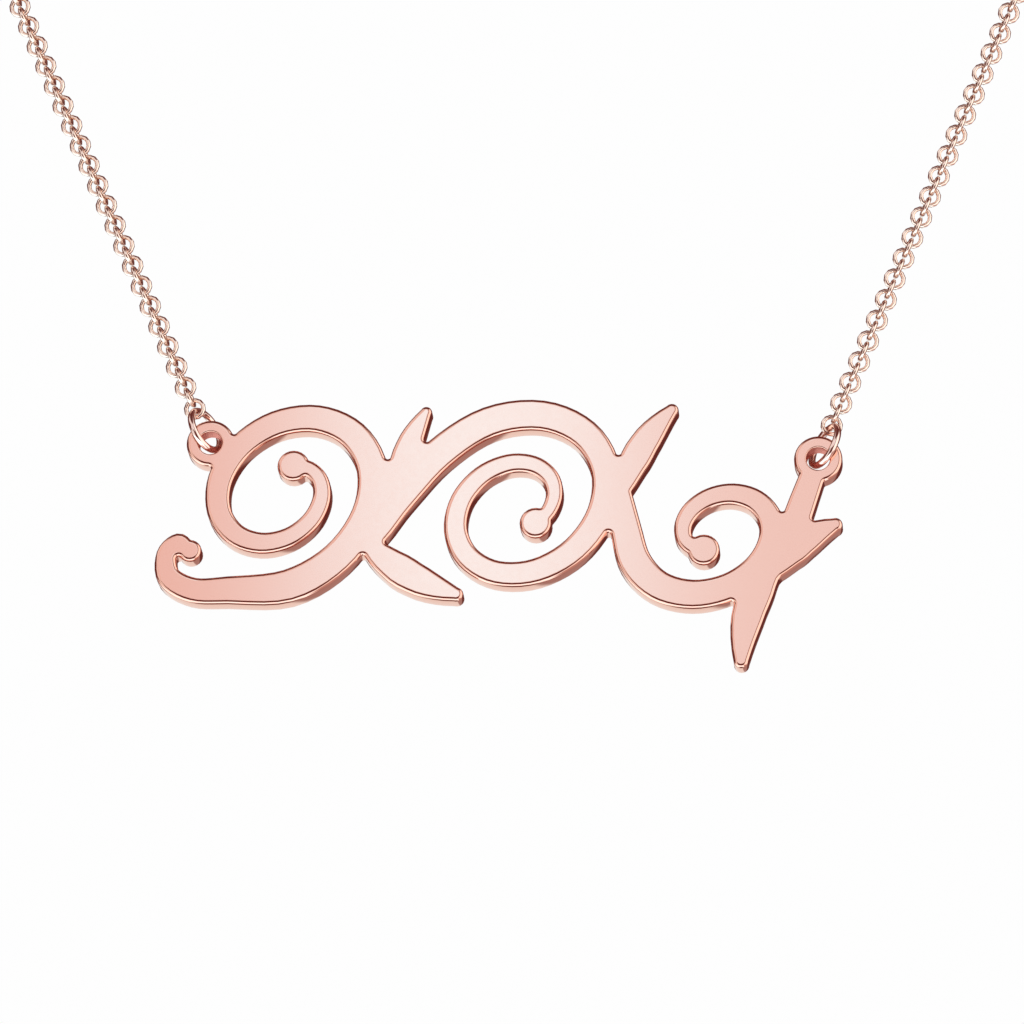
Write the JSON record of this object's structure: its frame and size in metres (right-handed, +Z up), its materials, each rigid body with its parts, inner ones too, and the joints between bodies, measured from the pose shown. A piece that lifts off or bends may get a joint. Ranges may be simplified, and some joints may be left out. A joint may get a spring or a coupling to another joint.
{
  "type": "nameplate necklace",
  "caption": "Rose gold necklace: a polished pierced plate of vine scrolls with an eyelet at each end, hung on jump rings from a fine round-link rolo chain with a ring clasp.",
  "frame": {"origin": "at the nape of the neck, in the middle of the clasp's ring, where the worn chain rests", "axes": "+Z up, -Y towards the front of the wearer and the way the plate's front faces, X along the plate from its left end to its right end as seen from the front"},
  "size_m": [0.1122, 0.106, 0.1246],
  "materials": {
    "plate_metal": "polished rose gold",
    "ring_metal": "polished rose gold wire",
    "chain_metal": "polished rose gold wire",
    "clasp_metal": "polished rose gold"
  },
  "bodies": {
    "root": {"nameplate": "plate_metal", "jump_ring_left": "ring_metal", "jump_ring_right": "ring_metal", "front_link_left": "chain_metal", "front_link_right": "chain_metal", "chain_left": "chain_metal", "chain_right": "chain_metal", "back_link_left": "chain_metal", "back_link_right": "chain_metal", "clasp_ring_left": "ring_metal", "clasp_ring_right": "ring_metal", "clasp": "clasp_metal"}
  },
  "joints": []
}
